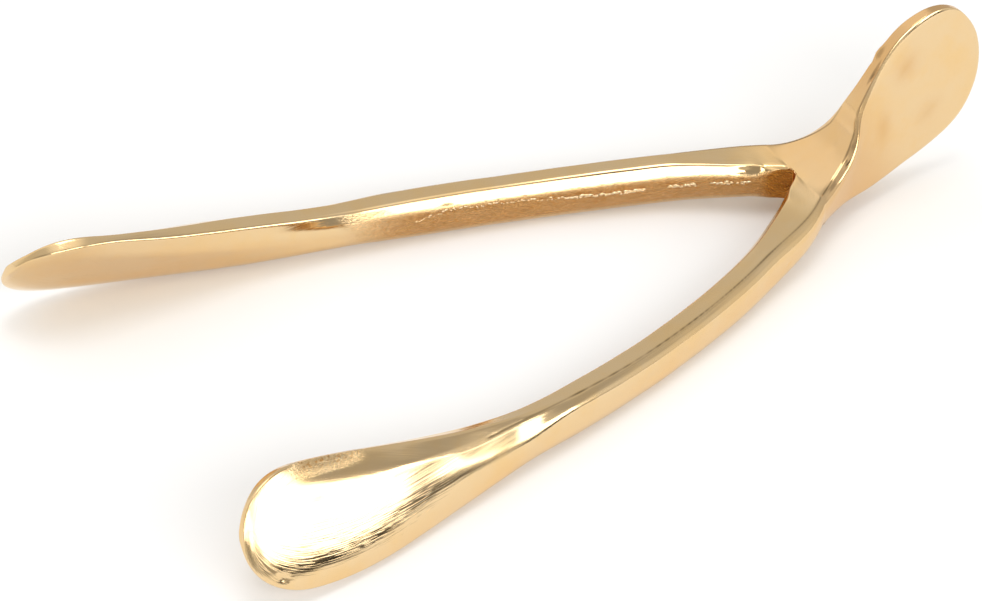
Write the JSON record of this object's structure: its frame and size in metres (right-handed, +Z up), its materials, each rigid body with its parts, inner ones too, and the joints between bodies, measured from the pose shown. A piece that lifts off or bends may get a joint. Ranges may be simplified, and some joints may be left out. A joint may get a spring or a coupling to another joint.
{
  "type": "wishbone ornament",
  "caption": "Polished cast brass wishbone: an upright head plate, a crotch, and curved arms that end in thin leaf-shaped paddles.",
  "frame": {"origin": "centre of the footprint, on the surface the ornament lies on", "axes": "+X along the mirror plane towards the head, +Y towards the left arm, +Z up"},
  "size_m": [0.1484, 0.0778, 0.0304],
  "materials": {
    "head": "polished",
    "web": "polished",
    "left_arm": "polished",
    "right_arm": "polished",
    "left_paddle": "polished",
    "right_paddle": "polished"
  },
  "bodies": {
    "root": {"head": "head", "web": "web", "left_arm": "left_arm", "right_arm": "right_arm", "left_paddle": "left_paddle", "right_paddle": "right_paddle"}
  },
  "joints": []
}
